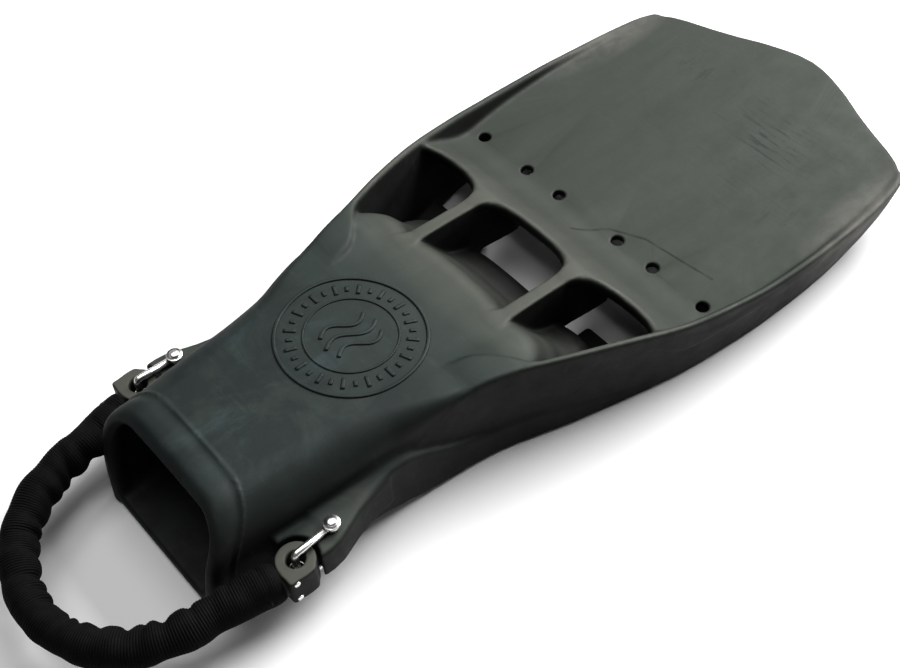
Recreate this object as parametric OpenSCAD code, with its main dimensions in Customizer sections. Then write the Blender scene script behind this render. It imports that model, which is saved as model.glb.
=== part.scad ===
// Open-heel vented swim fin with a spring heel strap. Millimetres, +Z up, +Y towards the blade tip.
// Lengths along the fin ("station") are counted from the rear edge of the sole.

/* [Fin] */
// Length of the rubber moulding, sole rear edge to blade tip
fin_len = 612; // [600:1:620]
// Half width of the fin over the side rails at the widest station
rail_half_w = 136.5; // [134:0.5:140]

/* [Foot pocket] */
// Thickness of the sole plate
sole_t = 8; // [6:0.5:9]
// Thickness of the pocket wall
wall_t = 7; // [5:0.5:8]
// Half width of the pocket at its mouth
mouth_half_w = 65; // [64:0.5:67]
// Height of the pocket top at its mouth
mouth_h = 88; // [84:0.5:92]
// How far the top of the mouth lies ahead of its foot
mouth_sweep = 27; // [24:1:29]
// Radius of the rolled lip round the mouth
lip_r = 4; // [3.5:0.5:4.5]

/* [Blade] */
// Height of the blade's upper face above the floor
blade_z = 41.5; // [40:0.5:43]
// Thickness of the blade
blade_t = 5; // [4:0.5:6]
// Diameter of the holes across the blade
hole_d = 9; // [7:0.5:10]
// Station of the row of holes
hole_y = 370; // [366:1:376]
// Distances of the holes from the middle line
hole_x = [29.6, 63.7, 110.3];
// Width of the two ribs between the vents
rib_w = 10; // [8:0.5:11]
// Distance of each rib's middle from the middle line
rib_x = 45.5; // [44:0.5:47]

/* [Strap hardware] */
// Distance of each lug pin from the middle line
pin_x = 84; // [83.5:0.5:84.5]
// Station of the lug pins
pin_y = 78; // [77:0.5:79]
// Diameter of the lug pins
pin_d = 5; // [4:0.5:5]
// Distance of each strap eye from the middle line
eye_x = 85.5; // [85:0.5:86]
// Station of the strap eyes
eye_y = 49; // [48:0.5:49]
// Height of the middle of the strap ends
eye_z = 38; // [37:0.5:39]
// Outer radius of a strap end round its eye
eye_r = 12.8; // [12:0.1:12.8]
// Diameter of the hole in a strap end
eye_hole_d = 10.8; // [10.2:0.1:11]
// Height of a strap end
end_h = 23; // [22:1:24]
// Diameter of the steel link's wire
link_d = 4.6; // [4:0.1:4.8]

/* [Heel strap] */
// Outer diameter of the strap's fabric sleeve
sleeve_d = 24; // [22:0.5:24.5]
// Thickness of the gathered sleeve
sleeve_t = 2.5; // [2:0.1:3]
// Outer diameter of the coil spring in the sleeve
spring_d = 15; // [12:0.5:15]
// Radius of the strap's round the heel
loop_r = 75.5; // [75:0.5:77]
// Station of the middle of that round
loop_y = -8; // [-10:0.5:-6]
// Droop of the strap from its ends to its rearmost point, in degrees
droop = 4.4; // [3:0.1:5]

/* [Hidden] */

$fn = 48;
rubber = [0.16, 0.17, 0.16];
steel = [0.8, 0.8, 0.82];
cloth = [0.06, 0.06, 0.07];
eps = 0.01;

// The origin is under the middle of the whole object, heel strap included.
strap_back = loop_r + sleeve_d / 2 - loop_y;
mid_y = (fin_len - strap_back) / 2;

// Pocket shape by station: side half width, sole half width, height of the top, squareness.
pocket_w = [[0, mouth_half_w], [30, mouth_half_w + 1], [60, 69], [110, 71], [180, 72],
            [200, 75], [220, 82], [240, 88]];
pocket_base = [[0, 57], [30, 58.5], [60, 60], [110, 63], [150, 66], [200, 73], [240, 86]];
pocket_top = [[0, mouth_h], [60, 88.5], [110, 88], [150, 86], [180, 83.5], [200, 81], [240, 76]];
// Side view of the mouth: share of the sweep by share of the height.
mouth_curve = [[0, 0], [0.34, 0.11], [0.62, 0.3], [0.85, 0.63], [1, 1]];
pocket_square = [[0, 3], [60, 3.5], [150, 4.5], [240, 5]];
waist_z = 48;
pocket_stations = [0, 15, 30, 60, 90, 120, 150, 180, 200, 220, 238];
toe_y = 253;
arc_steps = 22;

// Side rail by station: outer edge, top, bottom.
rail_stations = [112, 135, 160, 180, 200, 220, 240, 260, 280, 300, 320, 340, 360, 400, 440, 480,
                 520, 545, 560];
rail_out = [[112, 79], [135, 78], [160, 78.5], [180, 80.5], [200, 84.5], [240, 97.5], [280, 111.5], [320, 123.5],
            [360, 131], [400, 135], [440, rail_half_w], [480, rail_half_w - 0.5], [520, 133.5],
            [545, 130.5], [560, 127]];
rail_top = [[112, 48], [135, 62], [160, 77], [180, 85], [200, 86], [240, 81.5], [280, 75.5],
            [320, 67], [360, 58.5], [400, 52], [440, 48], [480, 45], [560, 42]];
rail_bottom = [[112, 24], [135, 14], [160, 5], [180, 1], [200, 0], [480, 0], [520, 7], [545, 22],
               [560, 36]];
rail_crest_w = 6;
rail_foot_w = 10;
rail_draft = 6;

// Half of the blade tip's outline, from the corner to the middle line.
tip_corner = [127, 557];
tip_half = [tip_corner, [119, 567], [100, 577], [80, 584], [60, 592], [40, 602], [20, 609],
            [0, fin_len]];
blade_back = 350;

// Vents: rear edge on the toe, front edges on the bridge.
vent_top_z = 70;
vent_front = 309;
vent_bow = 9;
sole_front = 254;
ramp_front = 297;
bridge_front = 362;

// Heights of the steel link's two arms.
arm_gap = 2;
arm_high = eye_z + end_h / 2 + arm_gap + link_d / 2;
arm_low = eye_z - end_h / 2 - arm_gap - link_d / 2;
lug_low = arm_low + link_d / 2 + 0.8;
lug_high = arm_high - link_d / 2 - 0.8;
run_gap = 0.05;
lug_back = eye_y + eye_r + 1.9;

// Strap: straight arms from the strap ends that stop just short of the round part.
arm_stop = 3.5;
arm_from = [eye_x, eye_y - eye_r - 0.2, eye_z];
arm_to = [loop_r + 0.8, loop_y + arm_stop, eye_z - 2];
tail_end = 26;

module place() {
    translate([0, -mid_y, 0]) children();
}

// Draws its children on the right side, or mirrored on the left.
module both_ways(side) {
    if (side > 0) children();
    else mirror([1, 0, 0]) children();
}

function pow_abs(v, p) = pow(abs(v), p);
function sgn(v) = v < 0 ? -1 : 1;

// How far a ring of the pocket is swept forward at height z.
function lean(s, z) = mouth_sweep * lookup(z / mouth_h, mouth_curve) * max(0, 1 - s / 100);

// One point of the pocket's arch at angle a, for a wall set in by "inset".
function arch_point(s, a, inset) =
    let (w = lookup(s, pocket_w) - inset,
         rise = lookup(s, pocket_top) - inset - waist_z,
         p = 2 / lookup(s, pocket_square),
         z = waist_z + rise * pow_abs(sin(a), p))
    [w * sgn(cos(a)) * pow_abs(cos(a), p), s + lean(s, z), z];

// The foot of the arch, on the sole plate.
function foot_point(s, side, inset) =
    [side * (lookup(s, pocket_base) - inset), s + lean(s, sole_t), sole_t];

function arch_ring(s, inset) = concat(
    [foot_point(s, 1, inset)],
    [for (i = [0:arc_steps]) arch_point(s, 180 * i / arc_steps, inset)],
    [foot_point(s, -1, inset)]);

function reversed(v) = [for (i = [len(v) - 1:-1:0]) v[i]];

// Triangles across one end of a skin: a fan, or a strip between the two walls of an arch.
function end_faces(n, walls) =
    walls ? [for (i = [0:n / 2 - 2], h = [0, 1])
             h == 0 ? [i, i + 1, n - 1 - i] : [i + 1, n - 2 - i, n - 1 - i]]
          : [[for (i = [0:n - 1]) i]];

// Skins a list of rings that all have the same number of points; both ends are capped.
module skin(rings, walls = false) {
    n = len(rings[0]);
    m = len(rings);
    points = [for (r = rings) each r];
    sides = [for (j = [0:m - 2], i = [0:n - 1], h = [0, 1])
             let (a = j * n + i, b = j * n + (i + 1) % n)
             h == 0 ? [a, b, b + n] : [a, b + n, a + n]];
    back = [for (f = end_faces(n, walls)) reversed(f)];
    front = [for (f = end_faces(n, walls)) [for (i = f) i + (m - 1) * n]];
    polyhedron(points, concat(back, sides, front), convexity = 8);
}

module pocket_upper() {
    color(rubber) place()
        skin([for (s = pocket_stations)
              concat(arch_ring(s, 0), reversed(arch_ring(s, wall_t)))], walls = true);
}

// Closed front of the pocket, rounded off towards the vents.
module toe_cap() {
    toe_steps = [[238, 0], [244, 1], [249, 4], [toe_y, 10]];
    color(rubber) place()
        skin([for (t = toe_steps)
              [for (p = arch_ring(238, t[1])) [p[0], t[0], max(p[2], sole_t)]]]);
}

// Rolled lip: a round bead that follows the mouth.
module pocket_lip() {
    bead_sides = 8;
    path = arch_ring(0, wall_t / 2);
    last = len(path) - 1;
    color(rubber) place()
        skin([for (i = [0:last])
              let (d = path[min(i + 1, last)] - path[max(i - 1, 0)],
                   t = d / norm(d),
                   lean_n = [0, -mouth_h, mouth_sweep],
                   n = lean_n / norm(lean_n),
                   u = cross(t, n))
              [for (k = [0:bead_sides - 1])
               let (a = -360 * k / bead_sides)
               path[i] + lip_r * (cos(a) * n + sin(a) * u / norm(u))]]);
}

function rail_inner(s) = lookup(s, rail_out) - rail_crest_w;

module sole_plate() {
    back = [0, 10, 30, 60, 110, 150, 200, 240];
    side = concat([for (s = back) [lookup(s, pocket_base) - (s == 0 ? 9 : 0), s]],
                  [[rail_inner(sole_front) - rail_foot_w + 3, sole_front]]);
    color(rubber) place()
        linear_extrude(sole_t)
        polygon(concat(side, reversed([for (p = side) [-p[0], p[1]]])));
}

// Ramp from the toe down to the vents, with its underside swept up to a thin front edge.
module vent_ramp() {
    profile = [[toe_y - 1, 64], [278, 43], [ramp_front, 34], [ramp_front, 27], [262, sole_t],
               [toe_y - 1, sole_t]];
    color(rubber) place() intersection() {
        translate([-150, 0, 0]) rotate([90, 0, 90]) linear_extrude(300) polygon(profile);
        linear_extrude(100) polygon(inner_plan(toe_y - 5, ramp_front + 7, 4, -3));
    }
}

// Raised ring and a wave on the pocket top.
module emblem_ring() {
    ring_y = 162;
    ring_r = 50;
    ring_w = 3;
    ring_h = 5;
    ring_tilt = -4.3;
    wave_r = 13;
    color(rubber) place()
        translate([0, ring_y, lookup(ring_y, pocket_top) - 4]) rotate([ring_tilt, 0, 0]) {
            rotate_extrude() translate([ring_r - ring_w, 0]) square([ring_w, ring_h]);
            for (m = [-1, 1])
                translate([m * wave_r, 0, 0]) rotate([0, 0, m > 0 ? 180 : 0])
                rotate_extrude(angle = 180) translate([wave_r - ring_w / 2, 0])
                square([ring_w, ring_h]);
        }
}

// Plan outline between the rails, from one station to another.
function inner_plan(from, to, step, extra) =
    let (side = [for (s = [from:step:to]) [rail_inner(s) + extra, s]])
    concat(side, reversed([for (p = side) [-p[0], p[1]]]));

// A vent's plan outline with a bowed front edge.
function vent_plan(x0, x1, back, front) =
    concat([[x0, back], [x1, back]],
           [for (i = [0:8]) let (t = i / 8)
            [x1 + (x0 - x1) * t, front + vent_bow * pow_abs(sin(180 * t), 0.7)]]);

module vent_bridge() {
    bridge_back = vent_front - 3;
    color(rubber) place() difference() {
        intersection() {
            translate([-150, 0, 0]) rotate([90, 0, 90]) linear_extrude(300)
                polygon([[bridge_back, vent_top_z], [318, vent_top_z - 1], [335, 57], [350, 45.5],
                         [bridge_front, blade_z], [bridge_front, blade_z - blade_t],
                         [348, blade_z - blade_t + 1], [330, 46], [318, 57], [bridge_back, 61]]);
            linear_extrude(100) polygon(inner_plan(bridge_back - 2, bridge_front, 4, 1));
        }
        linear_extrude(100) polygon(vent_plan(-40, 40, 290, vent_front));
        for (m = [-1, 1])
            linear_extrude(100) polygon(vent_plan(m * 51, m * 119, 290, vent_front + 2));
    }
}

module blade_panel() {
    side = [for (s = [bridge_front:22:540]) [rail_inner(s) + 1, s]];
    half = concat(side, tip_half);
    color(rubber) place() difference() {
        translate([0, 0, blade_z - blade_t]) linear_extrude(blade_t)
            polygon(concat(half, reversed([for (i = [0:len(half) - 2]) [-half[i][0], half[i][1]]])));
        for (x = hole_x, m = [-1, 1])
            translate([m * x, hole_y, blade_z - blade_t - 1]) cylinder(d = hole_d, h = blade_t + 2);
    }
}

// One side rail: a tall wall along the pocket that dies out at the blade's corner.
module rail(side) {
    color(rubber) place() both_ways(side)
        skin([for (s = rail_stations)
              let (out = lookup(s, rail_out), top = lookup(s, rail_top),
                   low = lookup(s, rail_bottom), d = rail_draft * min(1, (top - low) / 40))
              [[out, s, top - 2], [out - 1.5, s, top], [out - rail_crest_w + 1.5, s, top],
               [out - rail_crest_w, s, top - 2], [out - d - rail_foot_w, s, low + 1],
               [out - d - rail_foot_w + 2, s, low], [out - d - 1, s, low], [out - d, s, low + 2]]]);
}

module rail_left() { rail(-1); }
module rail_right() { rail(1); }

// One rib between two vents, with its web under the blade.
module vent_rib(side) {
    web_low = [[toe_y - 5, 20], [ramp_front, 26], [340, 20], [390, 27], [430, 35]];
    web_high = [[430, blade_z - blade_t], [348, blade_z - blade_t], [318, 56], [314, vent_top_z - 1],
                [toe_y - 5, 73]];
    color(rubber) place()
        translate([side * rib_x - rib_w / 2, 0, 0]) rotate([90, 0, 90]) linear_extrude(rib_w)
        polygon(concat(web_low, web_high));
}

module vent_rib_left() { vent_rib(-1); }
module vent_rib_right() { vent_rib(1); }

// Strap lug: a thick ear on the side of the pocket with an upright bore for the pin.
module strap_lug(side) {
    root_x = 65;
    color(rubber) place() both_ways(side) difference() {
        translate([0, 0, lug_low]) linear_extrude(lug_high - lug_low)
            polygon([[root_x, lug_back + 4], [72.5, lug_back], [88, lug_back], [93, lug_back - 1.5],
                     [95, 68], [94, 77], [90.5, 86], [86, 97], [82.5, 112], [80, 124],
                     [root_x, 124]]);
        translate([pin_x, pin_y, lug_low - 1]) cylinder(d = pin_d, h = lug_high - lug_low + 2);
    }
}

module strap_lug_left() { strap_lug(-1); }
module strap_lug_right() { strap_lug(1); }

// Headed pin through the lug and both eyes of the link, with a domed head and a flange each end.
module lug_pin(side) {
    head_d = 11;
    flange_t = 0.9;
    dome_d = 7;
    low = arm_low - link_d / 2 - run_gap;
    high = arm_high + link_d / 2 + run_gap;
    color(steel) place() both_ways(side) translate([pin_x, pin_y, 0]) {
        translate([0, 0, low - flange_t]) cylinder(d = pin_d, h = high - low + 2 * flange_t);
        translate([0, 0, low - flange_t]) cylinder(d = head_d, h = flange_t);
        translate([0, 0, low - flange_t - 1.2]) cylinder(d = dome_d, h = 1.2 + eps);
        translate([0, 0, high]) cylinder(d = head_d, h = flange_t);
        translate([0, 0, high + flange_t - eps]) cylinder(d1 = dome_d, d2 = dome_d - 2, h = 1.8);
    }
}

module lug_pin_left() { lug_pin(-1); }
module lug_pin_right() { lug_pin(1); }

// Steel link: two arms that swivel on the lug pin and an upright leg through the strap's eye.
module link(side) {
    link_eye_d = 9.6;
    arm_d = link_d - 0.3;
    reach = norm([pin_x - eye_x, pin_y - eye_y]);
    turn = atan2(eye_y - pin_y, eye_x - pin_x);
    color(steel) place() both_ways(side) difference() {
        union() {
            for (z = [arm_low, arm_high]) {
                translate([pin_x, pin_y, z - link_d / 2]) cylinder(d = link_eye_d, h = link_d);
                translate([pin_x, pin_y, z]) rotate([0, 0, turn]) rotate([0, 90, 0])
                    cylinder(d = arm_d, h = reach);
            }
            translate([eye_x, eye_y, arm_low - link_d / 2])
                cylinder(d = link_d, h = arm_high - arm_low + link_d);
        }
        translate([pin_x, pin_y, arm_low - link_d])
            cylinder(d = pin_d + 2 * run_gap, h = arm_high - arm_low + 2 * link_d);
    }
}

module link_left() { link(-1); }
module link_right() { link(1); }

// Folded rubber strap end: a round eye, a square outer face and a tail inside the sleeve.
module strap_end(side) {
    tail_d = sleeve_d - 2 * sleeve_t - 0.4;
    square_w = 11;
    square_l = 19;
    color(rubber) place() both_ways(side) translate([eye_x, eye_y, eye_z]) difference() {
        union() {
            translate([0, 0, -end_h / 2]) cylinder(r = eye_r, h = end_h);
            translate([eye_r - square_w, -eye_r, -end_h / 2]) cube([square_w, square_l, end_h]);
            rotate([90, 0, 0]) cylinder(d = tail_d, h = tail_end);
        }
        translate([0, 0, -end_h / 2 - 1]) cylinder(d = eye_hole_d, h = end_h + 2);
        rotate([90, 0, 0]) cylinder(d = spring_d + 0.2, h = tail_end + 1);
        for (z = rivet_z) translate([0, rivet_y, z]) rotate([0, 90, 0])
            cylinder(d = rivet_d, h = eye_r + 1);
    }
}

rivet_z = [-7, 7];
rivet_y = -4.5;
rivet_d = 2.6;

module strap_end_left() { strap_end(-1); }
module strap_end_right() { strap_end(1); }

// The two rivets that close a strap end.
module end_rivets(side) {
    head_d = 4.4;
    inner_x = spring_d / 2 + 1.2;
    color(steel) place() both_ways(side) translate([eye_x, eye_y, eye_z])
        for (z = rivet_z) translate([0, rivet_y, z]) rotate([0, 90, 0]) {
            translate([0, 0, inner_x]) cylinder(d = rivet_d, h = eye_r - inner_x);
            translate([0, 0, eye_r]) cylinder(d1 = head_d, d2 = head_d - 1.4, h = 0.7);
        }
}

module end_rivets_left() { end_rivets(-1); }
module end_rivets_right() { end_rivets(1); }

// End hook of the coil spring, looped round the link's leg inside the eye.
module spring_hook(side) {
    hook_wire = 1.2;
    hook_r = eye_hole_d / 2 - hook_wire / 2 - 0.1;
    color(steel) place() both_ways(side) translate([eye_x, eye_y, eye_z]) {
        rotate_extrude() translate([hook_r, 0]) circle(d = hook_wire, $fn = 16);
        translate([0, -hook_r, 0]) rotate([90, 0, 0]) cylinder(d = hook_wire, h = eye_r - hook_r);
    }
}

module spring_hook_left() { spring_hook(-1); }
module spring_hook_right() { spring_hook(1); }

// A straight tube or rod between two points.
module run(from, to, outer, inner) {
    d = to - from;
    translate(from) rotate([0, acos(d[2] / norm(d)), atan2(d[1], d[0])]) difference() {
        cylinder(d = outer, h = norm(d));
        if (inner > 0) translate([0, 0, -1]) cylinder(d = inner, h = norm(d) + 2);
    }
}

// The half round behind the heel.
module heel_round(outer, inner) {
    translate([0, loop_y, arm_to[2]]) rotate([droop, 0, 0]) rotate([0, 0, 180])
        rotate_extrude(angle = 180) translate([loop_r, 0]) difference() {
            circle(d = outer);
            if (inner > 0) circle(d = inner);
        }
}

module sleeve_arm(side) {
    color(cloth) place() both_ways(side)
        run(arm_from, arm_to, sleeve_d, sleeve_d - 2 * sleeve_t);
}

module sleeve_left() { sleeve_arm(-1); }
module sleeve_right() { sleeve_arm(1); }
module sleeve_rear() {
    color(cloth) place() heel_round(sleeve_d, sleeve_d - 2 * sleeve_t);
}

module spring_arm(side) {
    color(steel) place() both_ways(side) run(arm_from, arm_to, spring_d, 0);
}

module spring_left() { spring_arm(-1); }
module spring_right() { spring_arm(1); }
module spring_rear() {
    color(steel) place() heel_round(spring_d, 0);
}

pocket_upper();
toe_cap();
pocket_lip();
sole_plate();
vent_ramp();
emblem_ring();
vent_bridge();
blade_panel();
rail_left();
rail_right();
vent_rib_left();
vent_rib_right();
strap_lug_left();
strap_lug_right();
lug_pin_left();
lug_pin_right();
link_left();
link_right();
strap_end_left();
strap_end_right();
end_rivets_left();
end_rivets_right();
spring_hook_left();
spring_hook_right();
sleeve_left();
sleeve_right();
sleeve_rear();
spring_left();
spring_right();
spring_rear();
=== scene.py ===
import math

import bpy
import numpy as np
from mathutils import Matrix, Vector


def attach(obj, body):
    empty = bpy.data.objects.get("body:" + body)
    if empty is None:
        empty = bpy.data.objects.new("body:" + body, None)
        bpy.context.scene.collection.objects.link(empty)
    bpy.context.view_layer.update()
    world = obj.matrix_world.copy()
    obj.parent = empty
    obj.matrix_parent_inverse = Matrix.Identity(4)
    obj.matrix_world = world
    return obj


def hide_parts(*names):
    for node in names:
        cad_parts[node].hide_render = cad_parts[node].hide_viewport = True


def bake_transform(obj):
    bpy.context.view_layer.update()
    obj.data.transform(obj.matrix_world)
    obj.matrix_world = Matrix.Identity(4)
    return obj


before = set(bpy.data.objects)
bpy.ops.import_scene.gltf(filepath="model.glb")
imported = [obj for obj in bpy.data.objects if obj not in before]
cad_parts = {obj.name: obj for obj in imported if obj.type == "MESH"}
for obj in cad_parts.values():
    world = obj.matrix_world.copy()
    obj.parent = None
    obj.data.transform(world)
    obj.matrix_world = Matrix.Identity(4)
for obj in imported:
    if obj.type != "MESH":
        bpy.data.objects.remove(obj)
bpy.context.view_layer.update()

# Shapes are worked out in millimetres along the fin: x lateral, s from the sole's rear edge towards the
# blade tip, z up. MID is the station that lies at y = 0 of the row frame.
MID = 258.25
# the strap end's eye, the lug pin (x and s), and the heights of the link's two arms
EYE = np.array([85.5, 49.0, 38.0])
PIN = (84.0, 78.0)
ARM_LOW, ARM_HIGH = 22.2, 53.8
# the round of the heel strap: radius, centre, and how far it droops from level
LOOP_R, LOOP_S, LOOP_Z, DROOP = 75.5, -8.0, 36.0, math.radians(4.4)


def row(p):
    p = np.asarray(p, float)
    return np.stack([p[:, 0], p[:, 1] - MID, p[:, 2]], 1) / 1000


def make(name, verts, faces, body, material, replaces=()):
    """A smooth-shaded piece, attached to its body when one is given."""
    mesh = bpy.data.meshes.new(name)
    mesh.from_pydata(row(verts).tolist(), [], [tuple(int(i) for i in f) for f in faces])
    mesh.polygons.foreach_set("use_smooth", [True] * len(mesh.polygons))
    mesh.validate()
    obj = bpy.data.objects.new(name, mesh)
    bpy.context.scene.collection.objects.link(obj)
    obj.data.materials.append(material)
    if body:
        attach(obj, body)
    if replaces:
        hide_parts(*replaces)
    return obj


# ---------------------------------------------------------------- shapes as distance fields

def curve(points, soft):
    """A table of (position, value) pairs as a function, smoothed over soft millimetres."""
    pitch = 0.5
    t = np.arange(-80.0, 700.0, pitch)
    v = np.interp(t, [p[0] for p in points], [p[1] for p in points])
    n = int(4 * soft / pitch)
    k = np.exp(-0.5 * (np.arange(-n, n + 1) * pitch / soft) ** 2)
    v = np.convolve(np.pad(v, n, mode="edge"), k / k.sum(), mode="valid")
    return lambda q: np.interp(q, t, v)


def join(a, b, k):
    """Both shapes, blended over k where they meet."""
    h = np.clip(0.5 + 0.5 * (b - a) / k, 0, 1)
    return b + (a - b) * h - k * h * (1 - h)


def meet(a, b, k):
    """What the two shapes share, with an edge of about k."""
    return -join(-a, -b, k)


def cut(a, b, k):
    """The first shape without the second."""
    return meet(a, -b, k)


def step(lo, hi, q):
    t = np.clip((q - lo) / (hi - lo), 0, 1)
    return t * t * (3 - 2 * t)


def rounded_box(x, z, half_w, top, r):
    """Distance to a section under a top and inside a half width, with a corner of radius r."""
    qx, qz = x - (half_w - r), z - (top - r)
    return np.minimum(np.maximum(qx, qz), 0) + np.hypot(np.maximum(qx, 0), np.maximum(qz, 0)) - r


def flank(x, z, half_w, base):
    """Distance to a side that leans from base at the floor out to half_w at FLANK_H."""
    slope = (half_w - base) / FLANK_H
    return (x - (base + slope * z)) / np.sqrt(1 + slope ** 2)


def outline(x, s, points):
    """Distance to a closed outline in plan, negative inside."""
    best, inside = np.inf, False
    for (ax, ay), (bx, by) in zip(points, points[1:] + points[:1]):
        ex, ey = bx - ax, by - ay
        px, py = x - ax, s - ay
        t = np.clip((px * ex + py * ey) / (ex * ex + ey * ey), 0, 1)
        best = np.minimum(best, (px - ex * t) ** 2 + (py - ey * t) ** 2)
        if ay != by:
            inside = inside ^ (((ay > s) != (by > s)) & (x < ex * (s - ay) / ey + ax))
    return np.where(inside, -1, 1) * np.sqrt(best)


# Tables along the fin, by s, or across it, by x. First the foot pocket: its half width, the half width
# of its sides at the floor, its top, the radius of its shoulders, the same for the hollow, and the
# mouth's edge by height.
FLANK_H = 48
WIDTH = curve([(0, 64.5), (20, 65.3), (40, 67), (60, 69), (110, 71.5), (135, 73.6), (160, 77),
               (180, 80.2), (200, 84), (220, 90), (240, 95), (262, 101), (304, 116)], 5)
MOUTH = curve([(-20, 0), (0, 0.3), (30, 3.4), (45, 6), (55, 8.6), (65, 12.2), (75, 17.2), (88, 26.2),
               (96, 33)], 3)
BASE = curve([(0, 58), (30, 59.5), (60, 61), (110, 64), (150, 67), (200, 75), (240, 88), (262, 98),
              (304, 114)], 6)
TOP = curve([(0, 88), (60, 88.5), (110, 88), (150, 86.2), (180, 84.2), (200, 81.6), (240, 76.5),
             (310, 74)], 8)
SHOULDER = curve([(0, 33), (60, 30), (110, 26), (138, 20), (158, 12), (178, 7), (205, 4.5),
                  (260, 4.5)], 6)
IN_WIDTH = curve([(0, 55.5), (20, 58), (60, 62), (110, 64), (180, 66), (225, 70), (240, 66)], 6)
IN_BASE = curve([(0, 48), (60, 51), (110, 55), (150, 58), (200, 64), (240, 62)], 6)
# the toe's front edge by x, the fall of toe and ramp ahead of it, and the ramp's underside
TOE = curve([(0, 253), (20, 252.4), (34, 250.5), (41, 248.5), (45.5, 246.5), (51, 247), (58, 249),
             (66, 250), (75, 248.5), (82, 243.5), (88, 236), (92, 226), (98, 205), (140, 200)], 2)
FRONT = curve([(-60, 140), (-9, 85), (-3, 78), (0, 74), (5, 68), (12, 58), (24, 43.8), (33, 38.6),
               (42, 35.5), (48, 31), (53, 24), (80, 0)], 2)
UNDER = curve([(-10, 0), (252, 0), (262, 8), (280, 18), (297, 26), (320, 30)], 3)
# a side rail: how far out its crest lies, the crest's height, and the height of its foot
CREST = curve([(100, 69), (140, 71), (160, 75), (180, 79.6), (200, 84.3), (220, 90), (240, 97.5),
               (260, 105), (280, 111.5), (300, 117.7), (320, 123.3), (340, 127.8), (360, 130.9), (380, 133),
               (400, 135), (420, 136.1), (440, 136.5), (460, 136.5), (480, 135.8), (500, 134.8),
               (520, 133.4), (545, 130.5), (560, 127), (575, 121)], 5)
CREST_Z = curve([(90, 20), (140, 40), (165, 68), (180, 80), (195, 84.3), (205, 84.8), (220, 84),
                 (240, 81.3), (260, 79), (280, 75.8), (300, 72), (320, 67), (340, 62), (360, 58.5),
                 (380, 55), (400, 52), (420, 49.6), (440, 48.2), (460, 46.8), (480, 45.3), (500, 44),
                 (520, 43), (560, 41.5), (600, 41)], 6)
FOOT_Z = curve([(90, 0), (480, 0), (500, 2),
                (520, 7), (540, 17), (552, 28), (562, 38), (572, 48)], 3)
# the blade's tip by x, the top and underside of bridge and blade, and the front edge of the vents by x
TIP = curve([(0, 612.3), (10, 611.5), (20, 609), (40, 602), (60, 592.5), (80, 584.5), (100, 577.5),
             (112, 572), (119, 566.5), (124, 561), (128, 554), (132, 540), (136, 500)], 3)
SHEET_TOP = curve([(296, 70.6), (309, 70.3), (318, 69), (326, 63.8), (335, 57), (343, 50.6), (350, 46),
                   (357, 42.8), (364, 41.5), (640, 41.5)], 2)
SHEET_LOW = curve([(296, 62), (309, 61), (318, 57), (330, 46.5), (340, 40.5), (350, 37.5), (362, 36.5),
                   (640, 36.5)], 2)
VENT = curve([(0, 319), (16, 318.4), (27, 315.8), (34, 312), (38, 307.5), (41, 301), (46, 296),
              (51, 301), (54, 308), (59, 313.5), (66, 317.5), (77, 321), (92, 322), (104, 320.5),
              (112, 317), (117, 312), (120, 304), (124, 290), (140, 280)], 1)
# a rib between two vents
RIB_TOP = curve([(236, 75.5), (250, 74.4), (309, 70), (318, 67), (335, 54), (350, 41), (362, 34),
                 (640, 34)], 2)
RIB_LOW = curve([(240, 10), (262, 12), (297, 24), (340, 19), (390, 27), (432, 40), (450, 60)], 5)
# the band that swoops back from a rail's foot to the strap lug: top, underside and outer face
BAND_TOP = curve([(60, 50), (90, 50.5), (110, 53), (128, 55.5), (142, 54.5), (160, 45), (180, 34),
                  (200, 27.5), (240, 25.5), (260, 20), (300, 12)], 5)
BAND_LOW = curve([(60, 25.5), (80, 25), (96, 22), (112, 17), (130, 10), (150, 4), (170, 1), (200, 0),
                  (300, 0)], 5)
BAND_X = curve([(60, 92), (78, 91), (90, 86.5), (100, 83.4), (112, 80.6), (130, 79.2), (150, 79.6),
                (170, 81), (185, 82.4), (200, 84), (220, 88.4), (240, 95), (260, 101.4), (280, 106.5),
                (300, 111), (330, 117)], 4)
# the strap lug in plan, half its height, and the radius of its hollow seat round the strap end
LUG = [(60, 47), (71, 46), (78, 56), (84, 58), (92.5, 56), (95.2, 62), (95.3, 69), (94, 77), (90.5, 86),
       (86, 97), (82.5, 112), (80, 124), (62, 124)]
LUG_HALF, SEAT_R = 12.7, 14.9
# the six blade holes: x of one side's three, station, radius
HOLES, HOLE_S, HOLE_R = (29.6, 63.7, 110.3), 370, 4.5
# a rib's middle plane and the middle of its length
RIB_X, RIB_MID = 45.7, 280


def arch(x, s, z):
    """The pocket's outside: sides, shoulders and top, carried on over the toe."""
    fade = 1 - step(135, 175, s)
    # the top face sweeps up to the rail's crest where it meets it
    rise = np.maximum(CREST_Z(s) - TOP(s) - 0.6, 0)
    rise = rise * step(160, 190, s) * (1 - step(222, 240, s)) * step(46, 82, x)
    crown = 2.5 * np.minimum(x / 62, 1.15) ** 2.5 * fade
    w = WIDTH(s)
    box = rounded_box(x, z, w, TOP(s) - crown + rise, SHOULDER(s))
    return meet(box, flank(x, z, w, BASE(s)), 3 + 9 * fade)


def toe(x, s, z, outer):
    """Foot pocket, closed toe and the ramp ahead of it, still solid."""
    u = s - TOE(x)
    h = FRONT(u)
    slope = FRONT(u + 1) - h
    body = meet(outer, (z - h) / np.sqrt(1 + slope ** 2), 7)
    body = meet(body, UNDER(s) - z, 2.5)
    return meet(body, s - 300, 3)


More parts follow.
